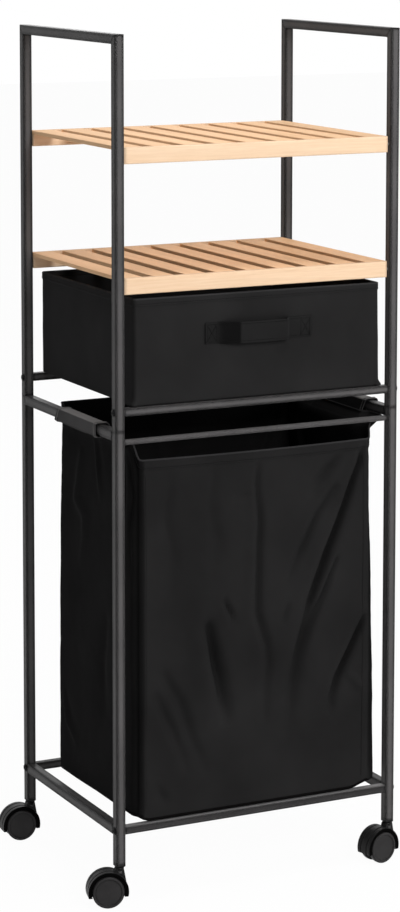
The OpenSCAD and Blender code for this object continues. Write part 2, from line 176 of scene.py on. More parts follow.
class Shader:
    """A Principled material whose pattern is built up from a few nodes."""

    def __init__(self, name, roughness, metallic=0.0, specular=0.5):
        self.material = bpy.data.materials.new(name)
        self.material.use_nodes = True
        self.tree = self.material.node_tree
        self.surface = self.tree.nodes["Principled BSDF"]
        self.surface.inputs["Roughness"].default_value = roughness
        self.surface.inputs["Metallic"].default_value = metallic
        self.surface.inputs["Specular IOR Level"].default_value = specular

    def node(self, kind, **values):
        made = self.tree.nodes.new("ShaderNode" + kind)
        for key, value in values.items():
            setattr(made, key, value)
        return made

    def link(self, a, b):
        self.tree.links.new(a, b)

    def math(self, operation, a, b=None):
        made = self.node("Math", operation=operation)
        for i, value in enumerate((a, b)):
            if isinstance(value, (int, float)):
                made.inputs[i].default_value = value
            elif value is not None:
                self.link(value, made.inputs[i])
        return made.outputs[0]

    def place(self, scale=(1, 1, 1), uv=None):
        """Coordinates in metres, stretched by scale, from the piece or from its cloth map."""
        if uv:
            source = self.node("UVMap", uv_map=uv).outputs["UV"]
        else:
            source = self.node("TexCoord").outputs["Object"]
        mapping = self.node("Mapping")
        mapping.inputs["Scale"].default_value = scale
        self.link(source, mapping.inputs["Vector"])
        return mapping.outputs[0]

    def noise(self, place, scale, detail=3.0, roughness=0.5):
        made = self.node("TexNoise")
        made.inputs["Scale"].default_value = scale
        made.inputs["Detail"].default_value = detail
        made.inputs["Roughness"].default_value = roughness
        self.link(place, made.inputs["Vector"])
        return made.outputs["Fac"]

    def ramp(self, value, *stops):
        made = self.node("ValToRGB")
        elements = made.color_ramp.elements
        while len(elements) < len(stops):
            elements.new(0.5)
        for element, (at, colour) in zip(elements, stops):
            element.position = at
            if isinstance(colour, (int, float)):
                colour = (colour,)*3
            element.color = (*colour, 1)
        self.link(value, made.inputs[0])
        return made.outputs[0]

    def blend(self, factor, a, b, kind="MIX"):
        made = self.node("MixRGB", blend_type=kind)
        for i, value in enumerate((factor, a, b)):
            if isinstance(value, (int, float)):
                made.inputs[i].default_value = value
            elif isinstance(value, tuple):
                made.inputs[i].default_value = (*value, 1)
            else:
                self.link(value, made.inputs[i])
        return made.outputs[0]

    def colour(self, value):
        self.link(value, self.surface.inputs["Base Color"])

    def rough_by(self, pattern, spread, lowest):
        """Roughness that follows a pattern of 0 to 1."""
        value = self.math("ADD", self.math("MULTIPLY", pattern, spread), lowest)
        self.link(value, self.surface.inputs["Roughness"])

    def bump(self, height, depth, strength, under=None):
        made = self.node("Bump")
        made.inputs["Strength"].default_value = strength
        made.inputs["Distance"].default_value = depth
        self.link(height, made.inputs["Height"])
        if under:
            self.link(under, made.inputs["Normal"])
        self.link(made.outputs[0], self.surface.inputs["Normal"])

    def edge_shade(self, base, colour, radius, highlight_share, edge_shade_share):
        """A painted highlight along each rounded edge and then a nearly black line of painted
        shade.

        It returns the new colour and the rounded normal.
        """
        rounded = self.node("Bevel", samples=6)
        turn = self.node("VectorMath", operation="DOT_PRODUCT")
        rounded.inputs["Radius"].default_value = radius
        self.link(rounded.outputs[0], turn.inputs[0])
        self.link(self.node("NewGeometry").outputs["True Normal"], turn.inputs[1])
        away = self.math("SUBTRACT", 1.0, turn.outputs["Value"])
        # A painted highlight where the rounding begins, then painted shade nearer the edge itself
        painted_highlight = self.ramp(away, (0.0, 0.0), (0.002, 1.0), (0.006, 1.0), (0.012, 0.0))
        base = self.blend(self.math("MULTIPLY", painted_highlight, highlight_share), base,
                          tuple(c*2.6 for c in colour))
        painted_edge_shade = self.ramp(away, (0.006, 0.0), (0.026, 1.0))
        base = self.blend(self.math("MULTIPLY", painted_edge_shade, edge_shade_share), base, NEARLY_BLACK)
        return base, rounded.outputs[0]


def painted_metal(name, colour, roughness, painted_top_light=None):
    """Powder-coated steel, with a painted highlight of the given top-light colour on its upper
    edges and face.
    """
    s = Shader(name, roughness, specular=0.05)
    place = s.place()
    mottle = s.noise(place, 14, 4)
    dark = tuple(c*0.86 for c in colour)
    light = tuple(min(1, c*1.16) for c in colour)
    base = s.ramp(mottle, (0.3, dark), (0.7, light))
    speck = s.ramp(s.noise(place, 900, 2), (0.62, 0.0), (0.74, 1.0))
    base = s.blend(s.math("MULTIPLY", speck, 0.25), base, tuple(c*1.7 for c in colour))
    # Painted highlight and painted shade along the rounded edges
    base, rounded = s.edge_shade(base, colour, radius=0.005, highlight_share=0.5, edge_shade_share=0.96)
    # Painted highlight where it faces up
    if painted_top_light:
        facing = s.node("SeparateXYZ")
        s.link(rounded, facing.inputs[0])
        upwards = s.ramp(facing.outputs[2], (0.5, 0.0), (0.8, 1.0))
        base = s.blend(upwards, base, painted_top_light)
    s.colour(base)
    s.rough_by(s.noise(place, 60, 3), 0.16, roughness - 0.08)
    s.bump(s.noise(place, 1300, 2, 0.6), 0.00012, 0.5, under=rounded)
    return s.material


def zinc(name):
    s = Shader(name, 0.3, metallic=1.0)
    place = s.place()
    turned = s.noise(s.place((1, 1, 30)), 60, 3)
    mottle = s.noise(place, 35, 4)
    s.colour(s.ramp(mottle, (0.3, (0.46, 0.47, 0.5)), (0.7, (0.62, 0.63, 0.65))))
    s.rough_by(turned, 0.2, 0.2)
    s.bump(turned, 0.00005, 0.4)
    return s.material


def bamboo(name, along, tint=(1, 1, 1)):
    """Laminated bamboo with its fibres along X or Y. Each slat is a little paler or darker."""
    s = Shader(name, 0.6, specular=0.02)

    def tone(*colour):
        return tuple(c*k for c, k in zip(colour, tint))

    fibre_place = s.place({"X": (1, 30, 30), "Y": (30, 1, 30)}[along])
    strip_place = s.place({"X": (0.6, 45, 45), "Y": (45, 0.6, 45)}[along])
    island = s.node("NewGeometry").outputs["Random Per Island"]
    fibres = s.noise(fibre_place, 16, 5, 0.6)
    strips = s.noise(strip_place, 1.2, 1, 0.3)
    base = s.ramp(fibres, (0.25, tone(0.78, 0.55, 0.345)), (0.5, tone(0.86, 0.64, 0.425)),
                  (0.75, tone(0.92, 0.72, 0.505)))
    laminate = s.ramp(strips, (0.35, tone(0.81, 0.58, 0.37)), (0.65, tone(0.91, 0.71, 0.49)))
    base = s.blend(0.35, base, laminate)
    streaks = s.ramp(s.noise(fibre_place, 55, 2, 0.5), (0.6, 0.0), (0.72, 1.0))
    base = s.blend(s.math("MULTIPLY", streaks, 0.2), base, tone(0.62, 0.4, 0.22))
    shade = s.math("ADD", s.math("MULTIPLY", island, 0.12), 0.92)
    both = s.node("CombineColor")
    for i in range(3):
        s.link(shade, both.inputs[i])
    s.colour(s.blend(1.0, base, both.outputs[0], "MULTIPLY"))
    s.rough_by(fibres, 0.22, 0.46)
    s.bump(fibres, 0.0002, 0.35)
    return s.material


def cloth(name, colour, thread=THREAD_WIDTH, specular=0.05, sheen=0.015, depth=0.00012, painted_shades=(),
          painted_top_light=None, painted_inner_shade=False):
    """Woven cloth on the piece's own map, with threads that pass over and under.

    Painted shade darkens it in its hollows. Its stops of (metres, shade) give it stretches of
    painted shade along its map. Its top-light colour is a painted highlight where it faces up,
    and its inner-shade switch paints shade on what faces the rack's middle.
    """
    roughness = 0.9
    s = Shader(name, roughness, specular=specular)
    u = s.node("SeparateXYZ")
    s.link(s.place(uv="cloth"), u.inputs[0])
    waves = [s.math("SINE", s.math("MULTIPLY", u.outputs[i], math.pi/thread))
             for i in range(2)]
    weave = s.math("ADD", s.math("MULTIPLY", s.math("MULTIPLY", *waves), 0.5), 0.5)
    place = s.place()
    slub = s.noise(s.place((1, 14, 1), uv="cloth"), 120, 3)
    height = s.math("ADD", weave, s.math("MULTIPLY", slub, 0.6))
    dark = tuple(c*0.72 for c in colour)
    light = tuple(c*1.3 for c in colour)
    base = s.ramp(s.noise(place, 9, 4), (0.3, dark), (0.7, light))
    base = s.blend(s.math("MULTIPLY", weave, 0.35), base, tuple(c*1.9 for c in colour))
    facing, spot = s.node("SeparateXYZ"), s.node("SeparateXYZ")
    s.link(s.node("NewGeometry").outputs["Normal"], facing.inputs[0])
    s.link(place, spot.inputs[0])
    # Painted shade on what faces the rack's middle
    if painted_inner_shade:
        outwards = s.math("MULTIPLY", facing.outputs[0], s.math("SIGN", spot.outputs[0]))
        inside = s.ramp(s.math("MULTIPLY", outwards, -1.0), (0.3, 1.0), (0.7, 0.12))
        base = s.blend(1.0, base, inside, "MULTIPLY")
    # Painted highlight where it faces up
    if painted_top_light:
        upwards = s.ramp(facing.outputs[2], (0.6, 0.0), (0.9, 1.0))
        base = s.blend(upwards, base, painted_top_light)
    # Painted shade in its hollows, creases and under things
    occlusion = s.node("AmbientOcclusion", samples=6)
    occlusion.inputs["Distance"].default_value = SHADE_REACH
    unshaded_share = s.ramp(occlusion.outputs["AO"], (0.25, 0.25), (0.85, 1.0))
    base = s.blend(1.0, base, unshaded_share, "MULTIPLY")
    # Stretches of painted shade along its map
    if painted_shades:
        low, high = painted_shades[0][0], painted_shades[-1][0]
        along = s.math("DIVIDE", s.math("SUBTRACT", u.outputs[0], low), high - low)
        stops = [((at - low)/(high - low), shade) for at, shade in painted_shades]
        base = s.blend(1.0, base, s.ramp(along, *stops), "MULTIPLY")
    s.colour(base)
    s.rough_by(s.noise(place, 30, 3), 0.14, roughness - 0.07)
    s.surface.inputs["Sheen Weight"].default_value = sheen
    s.surface.inputs["Sheen Roughness"].default_value = 0.45
    s.surface.inputs["Sheen Tint"].default_value = (0.75, 0.76, 0.8, 1)
    s.bump(height, depth, 0.6)
    return s.material


def moulded(name, colour, roughness, specular=0.12):
    """Moulded nylon with a fine spark texture."""
    s = Shader(name, roughness, specular=specular)
    place = s.place()
    base = s.ramp(s.noise(place, 45, 4), (0.3, tuple(c*0.8 for c in colour)),
                  (0.7, tuple(c*1.25 for c in colour)))
    # Painted highlight and painted shade along the rounded edges
    base, rounded = s.edge_shade(base, colour, radius=0.0022, highlight_share=0.35, edge_shade_share=0.9)
    s.colour(base)
    s.rough_by(s.noise(place, 220, 3), 0.18, roughness - 0.09)
    s.bump(s.noise(place, 1800, 2, 0.7), 0.0001, 0.5, under=rounded)
    return s.material


METAL = painted_metal("powder_coat", (0.084, 0.0805, 0.081), 0.34)
# Bottom front rail: the powder coat painted darker as shade, with a painted highlight on top
SHADED_METAL = painted_metal("powder_coat_painted_shade", (0.034, 0.0325, 0.033), 0.36,
                          painted_top_light=(0.2, 0.194, 0.195))
BOLT = painted_metal("blackened_steel", (0.04, 0.038, 0.04), 0.34)
ZINC = zinc("zinc_plate")
BAMBOO_X = bamboo("bamboo_rail", "X", (0.89, 0.86, 0.88))
BAMBOO_Y = bamboo("bamboo_slat", "Y", (1.02, 0.87, 0.76))
BLACK_CLOTH = (0.0122, 0.0119, 0.012)
CLOTH = cloth("black_cloth", BLACK_CLOTH, specular=0.02, sheen=0.006)
# Painted shade round the bag from the middle of its back: its left side is darker,
# and its front corners most
BAG_PAINTED_SHADES = ((0, 1.0), (0.166, 1.0), (0.17, 0.7), (0.36, 0.7), (0.377, 0.45), (0.3842, 0.3),
              (0.3856, 0.05), (0.3884, 0.05), (0.39, 1.0), (0.708, 1.0), (0.7105, 0.3),
              (0.721, 0.3), (0.74, 1.0), (1.095, 1.0))
BAG_CLOTH = cloth("bag_cloth", BLACK_CLOTH, specular=0.02, sheen=0.006, painted_shades=BAG_PAINTED_SHADES)
DRAWER_CLOTH = cloth("stiff_cloth", (0.0124, 0.0121, 0.0122), sheen=0.022)
# A paler copy of the cloth: painted highlight along folded edges and seams
HIGHLIGHT_EDGE_CLOTH = cloth("folded_edge_painted_highlight", (0.023, 0.0225, 0.023))
BAG_PIPING = cloth("bag_piping", (0.003, 0.0028, 0.0028), specular=0.01, sheen=0.0)
# Painted highlight on the sleeves' tops and painted shade on their inner faces
SLEEVE_CLOTH = cloth("sleeve_cloth", (0.058, 0.056, 0.056), painted_top_light=(0.24, 0.23, 0.225),
                     painted_inner_shade=True)
# Pale sleeve hems: painted highlight, with painted shade on their inner faces
SLEEVE_HIGHLIGHT_EDGE = cloth("sleeve_edge_painted_highlight", (0.13, 0.125, 0.123), painted_inner_shade=True)
THREAD = moulded("thread", (0.013, 0.0127, 0.013), 0.7)
# Painted shade along the strap from its middle: its left end is darker,
# most where it rises off the drawer
STRAP_PAINTED_SHADES = ((-0.075, 0.9), (-0.06, 0.75), (-0.05, 0.34), (-0.032, 0.3), (-0.03, 1.0),
                (0.075, 1.0))
WEBBING = cloth("black_strap", (0.0105, 0.0103, 0.0104), thread=0.0013, depth=0.0002,
                painted_shades=STRAP_PAINTED_SHADES)
NYLON = moulded("black_nylon", (0.011, 0.0106, 0.0108), 0.42)
# Nearly black rings: painted shade in the gap between each hood and its wheels
RIM_SHADE = moulded("rim_painted_shade", (0.0018, 0.0017, 0.0017), 0.7, specular=0.01)
WHEEL = moulded("wheel_nylon", (0.022, 0.021, 0.0214), 0.36)
BOARD = moulded("board", (0.03, 0.03, 0.03), 0.7)

SLOT_OF = {part["node"]: part["material_slot"] for part in frame["record"]["subparts"]}
MATERIAL_IN = {"frame": METAL, "bolt": BOLT, "steel": ZINC, "fabric": CLOTH, "webbing": WEBBING,
               "board": BOARD, "plastic": NYLON, "wheel": WHEEL}


def material_of(name):
    # The bottom front rail takes the powder coat with painted shade
    if name == "bottom_rail_front":
        return SHADED_METAL
    if SLOT_OF[name] == "bamboo":
        return BAMBOO_Y if name.endswith("slats") else BAMBOO_X
    return MATERIAL_IN[SLOT_OF[name]]


for name, node in frame["nodes"].items():
    if not node.data.materials:
        node.data.materials.append(None)
    for slot in node.material_slots:
        slot.material = material_of(name)


# Sewn goods: shapes
def smooth(t):
    t = np.clip(t, 0, 1)
    return t*t*(3 - 2*t)


def bell(distance, width):
    return np.exp(-(distance/width)**2)


def rounding(height, radius):
    """How far a rounded lower edge draws in at a height above the bottom."""
    under = np.clip(height, 0, radius)
    return radius - np.sqrt(radius**2 - (radius - under)**2)


def rough_field(points, size, seed):
    """Smooth noise of about -1 to 1 at each point, with lumps of about this size."""
    shift = Vector((seed, -seed, 2*seed))
    return np.array([noise.noise(Vector(p/size) + shift) for p in points])


def outline(x0, x1, y0, y1, r, step, arc=9, rear=None):
    """Stations round a rounded rectangle, from the middle of its back by its left, front and right.

    rear is the radius of its two back corners, where it differs. It returns the places, the
    outward normals and the length so far, which has one more value, for the way back.
    """
    q = r if rear is None else rear
    places, normals = [], []

    def straight(a, b, normal):
        n = max(2, round(math.hypot(b[0] - a[0], b[1] - a[1])/step))
        for i in range(n):
            places.append((a[0] + (b[0] - a[0])*i/n, a[1] + (b[1] - a[1])*i/n))
            normals.append(normal)

    def bend(cx, cy, start, radius):
        for i in range(arc):
            angle = math.radians(start + 90*i/arc)
            normal = (math.cos(angle), math.sin(angle))
            places.append((cx + radius*normal[0], cy + radius*normal[1]))
            normals.append(normal)

    middle = (x0 + x1)/2
    straight((middle, y1), (x0 + q, y1), (0, 1))
    bend(x0 + q, y1 - q, 90, q)
    straight((x0, y1 - q), (x0, y0 + r), (-1, 0))
    bend(x0 + r, y0 + r, 180, r)
    straight((x0 + r, y0), (x1 - r, y0), (0, -1))
    bend(x1 - r, y0 + r, 270, r)
    straight((x1, y0 + r), (x1, y1 - q), (1, 0))
    bend(x1 - q, y1 - q, 0, q)
    straight((x1 - q, y1), (middle, y1), (0, 1))
    places, normals = np.array(places), np.array(normals)
    gaps = np.hypot(*(np.roll(places, -1, 0) - places).T)
    return places, normals, np.concatenate([[0], np.cumsum(gaps)])


# The heights given to make_piece are measured from this far above the floor
BASE_Z = 5


def make_piece(name, verts, faces, material, uvs=None):
    """A smooth mesh from points in mm that stand BASE_Z too low, with its cloth map."""
    mesh = bpy.data.meshes.new(name)
    raised = np.asarray(verts, float) + (0, 0, BASE_Z)
    mesh.from_pydata((raised*MM).tolist(), [], faces)
    if uvs is not None:
        layer = mesh.uv_layers.new(name="cloth")
        layer.data.foreach_set("uv", (np.asarray(uvs, float)*MM).ravel())
    mesh.polygons.foreach_set("use_smooth", [True]*len(mesh.polygons))
    mesh.materials.append(material)
    mesh.update()
    piece = bpy.data.objects.new(name, mesh)
    scene.collection.objects.link(piece)
    return piece


def loft(name, grid, u, v, material, closed=True):
    """A surface through rows of points, with its cloth map in millimetres along each way."""
    rows, cols = grid.shape[:2]
    v = np.broadcast_to(v, (rows, cols))
    faces, uvs = [], []
    for r in range(rows - 1):
        for c in range(cols if closed else cols - 1):
            n = (c + 1) % cols
            faces.append((r*cols + c, r*cols + n, (r + 1)*cols + n, (r + 1)*cols + c))
            uvs += [(u[c], v[r, c]), (u[c + 1], v[r, n]),
                    (u[c + 1], v[r + 1, n]), (u[c], v[r + 1, c])]
    return make_piece(name, grid.reshape(-1, 3), faces, material, uvs)


def flat_normals(normals):
    """Level normals as three-dimensional ones."""
    return np.column_stack([normals, np.zeros(len(normals))])


def thicken(piece, thickness, outwards=False):
    solid = piece.modifiers.new("thickness", "SOLIDIFY")
    solid.thickness = thickness*MM
    solid.offset = 1 if outwards else -1
    return piece


def tube(name, path, radius, material, closed=False, sides=10, flat=None):
    """A round bead along a path of points; flat gives it another radius upwards."""
    path = np.asarray(path, float)
    ahead = np.roll(path, -1, 0) - np.roll(path, 1, 0)
    if not closed:
        ahead[0], ahead[-1] = path[1] - path[0], path[-1] - path[-2]
    ahead /= np.linalg.norm(ahead, axis=1)[:, None]
    up = np.array([0, 0, 1.0])
    across = np.cross(ahead, up)
    upright = np.linalg.norm(across, axis=1) < 0.2
    across[upright] = (1.0, 0, 0)
    across /= np.linalg.norm(across, axis=1)[:, None]
    lift = np.cross(across, ahead)
    rings = []
    for k in range(sides):
        angle = 2*math.pi*k/sides
        rings.append(path + across*radius*math.cos(angle)
                     + lift*(flat or radius)*math.sin(angle))
    verts = np.stack(rings, 1).reshape(-1, 3)
    count = len(path)
    faces = []
    for i in range(count if closed else count - 1):
        j = (i + 1) % count
        for k in range(sides):
            m = (k + 1) % sides
            faces.append((i*sides + k, j*sides + k, j*sides + m, i*sides + m))
    if not closed:
        faces.append(tuple(range(sides)))
        faces.append(tuple((count - 1)*sides + k for k in reversed(range(sides))))
    return make_piece(name, verts, faces, material)


def stitches(name, runs, pitch=3.2, length=2.3, radius=0.32):
    """Rows of thread along runs of (points, outward normals)."""
    # Each stitch: how far along it, as a part of its length, and how thick, as a part of its radius
    rings = [(-0.5, 0.35), (-0.32, 0.85), (0, 1.0), (0.32, 0.85), (0.5, 0.35)]
    sides, reach = 6, 0.6
    verts, faces = [], []
    for points, normals in runs:
        points, normals = np.asarray(points, float), np.asarray(normals, float)
        gaps = np.linalg.norm(np.diff(points, axis=0), axis=1)
        s = np.concatenate([[0], np.cumsum(gaps)])

        def value(table, at):
            return np.array([np.interp(at, s, table[:, i]) for i in range(3)])

        for k in range(int(s[-1]/pitch)):
            at = (k + 0.5)*pitch
            here, out = value(points, at), value(normals, at)
            along = value(points, at + reach) - value(points, at - reach)
            along /= np.linalg.norm(along)
            out /= np.linalg.norm(out)
            across = np.cross(along, out)
            first = len(verts)
            for t, size in rings:
                centre = here + along*t*length + out*(0.25 - 0.9*t*t)*radius
                for j in range(sides):
                    angle = 2*math.pi*j/sides
                    turned = across*math.cos(angle) + out*math.sin(angle)
                    verts.append(centre + turned*radius*size)
            for i in range(len(rings) - 1):
                for j in range(sides):
                    m = (j + 1) % sides
                    a, b = first + i*sides, first + (i + 1)*sides
                    faces.append((a + j, b + j, b + m, a + m))
            faces.append(tuple(first + j for j in range(sides)))
            last = first + (len(rings) - 1)*sides
            faces.append(tuple(last + j for j in reversed(range(sides))))
    return make_piece(name, verts, faces, THREAD)


def creases(lines, a, z):
    """Outward offsets of the folds on a panel, at places a along it and z up it.

    A fold is (points, depth, width at its start, width at its end): a groove along the points with
    a low ridge on both sides, higher where a is smaller.
    """
    total = np.zeros_like(a)
    for points, depth, width, end_width in lines:
        near = np.full(a.shape, 1e9)
        along, side, run = np.zeros_like(a), np.zeros_like(a), 0.0
        steps = list(zip(points[:-1], points[1:]))
        whole = sum(math.dist(p, q) for p, q in steps)
        for p, q in steps:
            da, dz, length = q[0] - p[0], q[1] - p[1], math.dist(p, q)
            t = np.clip(((a - p[0])*da + (z - p[1])*dz)/length**2, 0, 1)
            ea, ez = a - p[0] - t*da, z - p[1] - t*dz
            gap = np.hypot(ea, ez)
            closer = gap < near
            near = np.where(closer, gap, near)
            side = np.where(closer, ea/(gap + 0.5), side)
            along = np.where(closer, (run + t*length)/whole, along)
            run += length
        w = width + (end_width - width)*along
        fade = np.sin(math.pi*(0.14 + 0.86*along))**0.75
        ridge = (0.2 - 0.1*side)*bell(near - 2.4*w, 1.7*w)
        total += 1.45*fade*depth*(ridge - bell(near, 0.9*w))
    return total


# Laundry bag
BAG_X, BAG_Y = (-168, 166), (-141, 79)
BAG_BOTTOM, BAG_CORNER, BAG_EDGE = 102, 11, 4.5
# Heights of its top edge at the front, the sides and the back
BAG_HEM, SIDE_TOP, BAG_BACK = 545, 570, 581
HEM_DEPTH, HEM_SAG = 12, 1.8
# How far in its left and right seams are, and where the stitches beside them run
SEAM_IN, STITCH_X = (9, 10), (-153, 150)
# Its sides are drawn out from this height up, until their tops are this far from the middle
FLARE_FROM, TIP_X = 536, 181.4
# The front of its bottom hangs by this much, which fades out over this depth and height
SAG, SAG_REACH, SAG_RISE = 6.8, 30, 80
SLEEVE_Y, SLEEVE_BOTTOM = (-92, 28), 566
# How far a sleeve's lower inner edge is drawn in towards the bag
SLEEVE_SLANT = 7
SIDE_RAIL_X = 189

# The folds' points are (across or along the panel, height), as creases() takes them
FRONT_FOLDS = [
    ([(150, 541), (143, 514), (132, 489), (123, 464), (112, 437), (98, 406), (86, 374), (75, 344),
      (67, 315), (58, 285), (50, 247), (45, 210), (39, 172)], 9, 3.4, 10),
    ([(111, 397), (101, 375), (92, 353), (81, 331), (72, 309), (61, 279)], 4.5, 2.6, 4.5),
    ([(120, 534), (105, 517), (83, 496), (72, 480)], 4, 5, 9),
    ([(109, 489), (83, 456), (69, 429), (55, 403), (44, 381), (35, 364)], 3.6, 3.6, 5),
    ([(41, 346), (34, 321)], 2, 3, 3),
    ([(152, 317), (139, 293), (125, 266), (113, 242), (105, 217), (103, 194)], 7.5, 4, 6),
    ([(0, 527), (-2, 499), (3, 456), (1, 418), (0, 368), (0, 338), (5, 322), (13, 295), (15, 270),
      (10, 240), (9, 189)], 4.4, 3.4, 6.5),
    ([(-68, 330), (-62, 304), (-57, 279), (-52, 258), (-45, 221), (-45, 201)], 9.5, 7, 10),
    ([(-46, 360), (-37, 342), (-33, 329)], 3.6, 3, 4),
    ([(130, 245), (145, 230), (150, 219)], -2.4, 4, 4),
    ([(-129, 274), (-106, 237), (-92, 192), (-72, 147)], 4.4, 7, 9),
    ([(-140, 251), (-117, 202), (-103, 170), (-95, 146)], 3.4, 6, 8),
    ([(-137, 138), (-124, 117)], 2.2, 5, 5),
    ([(-33, 487), (-15, 488), (1, 489)], 0.9, 2.2, 2.2),
    ([(-120, 520), (-128, 470), (-118, 420), (-124, 360)], 2.6, 8, 12),
    ([(-60, 530), (-66, 480), (-58, 430), (-70, 380)], 2.4, 8, 12),
]
LEFT_FOLDS = [
    ([(-25, 554), (-39, 504), (-45, 474)], -1.8, 4, 6),
    ([(15, 526), (28, 467), (2, 450), (2, 423), (16, 383)], -2.2, 8, 10),
    ([(63, 205), (50, 172), (19, 148)], -2.4, 4, 6),
    ([(-126, 540), (-131, 500), (-124, 455), (-130, 400)], 2.8, 4, 6),
    ([(-112, 535), (-108, 470), (-116, 420)], 1.8, 5, 8),
    ([(-60, 330), (-48, 270), (-56, 200)], 2, 9, 12),
]
RIGHT_FOLDS = [
    ([(-120, 530), (-96, 470), (-80, 400), (-76, 330)], 3.6, 5, 10),
    ([(60, 540), (34, 470), (20, 390), (24, 310)], 2.8, 5, 10),
    ([(-20, 380), (-12, 300), (-26, 220), (-20, 160)], 2.6, 7, 11),
    ([(66, 260), (44, 210), (36, 150)], 2.2, 5, 8),
    ([(-124, 240), (-104, 190), (-98, 140)], 2, 6, 9),
]
BACK_FOLDS = [
    ([(-148, 560), (-120, 500), (-96, 430), (-84, 350)], 4.2, 5, 11),
    ([(146, 560), (116, 490), (98, 410), (92, 330), (84, 250)], 4.6, 5, 11),
    ([(-30, 540), (-24, 450), (-36, 360), (-28, 250)], 2.4, 7, 11),
    ([(44, 430), (36, 340), (48, 250), (40, 160)], 2.6, 7, 11),
    ([(-140, 300), (-116, 240), (-104, 170)], 3, 6, 9),
    ([(148, 230), (130, 180), (122, 130)], 2.2, 6, 9),
]


def bag_top(x, y):
    """Height of the bag's top edge: a low front, sides that rise to the rails and a taller back."""
    side_rise = smooth((y - BAG_Y[0])/8)
    side = BAG_HEM + (SIDE_TOP - BAG_HEM)*side_rise
    sag = HEM_SAG*(1 - (np.clip(x, *BAG_X)/BAG_X[1])**2)*(y < -130)
    return side + (BAG_BACK - SIDE_TOP)*smooth((y - 58)/16) - sag


def bag_flare(x, y):
    """How far the top edge is drawn out towards the rail, from just behind the front post."""
    sleeve_fade = 6
    on_sleeve = (smooth((y - SLEEVE_Y[0] + 5)/sleeve_fade)
                 * smooth((SLEEVE_Y[1] + 5 - y)/sleeve_fade))
    past_post = smooth((y + 131)/5)
    left = TIP_X + BAG_X[0] - 5.5*on_sleeve
    right = TIP_X - BAG_X[1] + 1.2 + past_post*(5.6 - 8.7*on_sleeve)
    from_front, to_rear = smooth((y + 137)/7), 1 - smooth((y - 30)/40)
    return np.where(x < 0, left, right)*from_front*to_rear


def front_sag(x, y):
    """How far the bag's bottom hangs down onto the front rail, between its lower front corners."""
    between = smooth((x + 166)/15)*smooth((158 - x)/26)
    return SAG*between*smooth((BAG_Y[0] + 4 + SAG_REACH - y)/SAG_REACH)


def bag_grid():
    """The bag's cloth as rows of points, with their cloth map, normals and the top edge."""
    places, normals, s = outline(*BAG_X, *BAG_Y, BAG_CORNER, step=3.2, rear=4)
    x, y = places.T
    nx, ny = normals.T
    top, flare = bag_top(x, y), bag_flare(x, y)
    near_top = [0, 0.7, 2, 4.5, 7.5, 10.4, 11.6, 12.2, 12.9, 14.2, 17, 21, 26]
    near_bottom = [0, 0.4, 1.3, 2.7, 4.5, 7]
    lower, upper = BAG_BOTTOM + near_bottom[-1], top - near_top[-1]
    middle_rows = 112
    heights = [BAG_BOTTOM + h + 0*top for h in near_bottom]
    heights += [lower + (upper - lower)*i/middle_rows for i in range(1, middle_rows)]
    heights += [top - d for d in reversed(near_top)]
    z = np.array(heights)
    X, Y = np.broadcast_to(x, z.shape), np.broadcast_to(y, z.shape)
    out = flare*nx**2*smooth((z - FLARE_FROM)/(top - FLARE_FROM))**3
    # The right side leans out towards the floor and the left rear edge a little too
    middle_z, half_height = 330, 210
    rise = np.clip((z - middle_z)/half_height, -1, 1)
    lean_right = 0.3 - 4.2*rise - 1.3*np.clip(rise, 0, 1)
    lean_left = (2.6 - 1.9*rise)*smooth((Y + 120)/160)
    out = out + np.clip(nx, 0, 1)*lean_right + np.clip(-nx, 0, 1)*lean_left
    tall = np.clip((z - BAG_BOTTOM)/(BAG_HEM - BAG_BOTTOM), 0, 1)
    hold = smooth((z - BAG_BOTTOM)/26)*smooth((top - z)/30)
    front, back = np.clip(-ny, 0, 1)**3, np.clip(ny, 0, 1)**3
    left, right = np.clip(-nx, 0, 1)**3, np.clip(nx, 0, 1)**3
    belly = np.sin(math.pi*tall)*(1.6*(left + right)*(1 - (Y/150)**2) + 1.4*front
                                  + 3*back*(1 - (X/170)**2))
    folds = front*creases(FRONT_FOLDS, X, z) + back*creases(BACK_FOLDS, X, z)
    folds += left*creases(LEFT_FOLDS, Y, z) + right*creases(RIGHT_FOLDS, Y, z)
    points = np.stack([X, Y, z], -1).reshape(-1, 3)
    drape = 1.3*rough_field(points*(1, 1, 0.45), 42, 3.1) + 0.35*rough_field(points, 13, 7.7)
    out = out + belly + hold*(folds + drape.reshape(z.shape))
    # The two front corners are drawn in beside the front panel's edges
    turn = np.arctan2(np.clip(-ny, 0, 1), np.abs(nx))/(math.pi/2)*(ny < 0)
    drawn_in = np.where(nx < 0, 4.6, 2.6)
    out = out - drawn_in*hold*np.sin(math.pi*turn**2)
    # A seam at each edge of the front and back, with a low ridge beside its groove
    for seam in (BAG_X[0] + SEAM_IN[0], BAG_X[1] - SEAM_IN[1]):
        for panel in (front, back):
            ridge, groove = bell(X - seam + np.sign(seam)*2.4, 1.7), bell(X - seam, 1.1)
            out = out + panel*(ridge - 1.5*groove)
    depth = top - z
    out = out + 0.75*(depth < HEM_DEPTH) - 0.5*bell(depth - HEM_DEPTH + 2.6, 0.9)
    out = out - rounding(z - BAG_BOTTOM, BAG_EDGE)
    hang = front_sag(X, Y)*smooth((BAG_BOTTOM + SAG_RISE - z)/SAG_RISE)
    return np.stack([X + nx*out, Y + ny*out, z - hang], -1), s, z, normals, top


grid, girth, heights, bag_normals, bag_tops = bag_grid()
bag = thicken(loft("bag_cloth", grid, girth, heights, BAG_CLOTH), 1.3)
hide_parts("bag_body")
rim = grid[-1] - 0.6*flat_normals(bag_normals)
bag_rim = tube("bag_hem_edge", rim, 1.25, HIGHLIGHT_EDGE_CLOTH, closed=True)


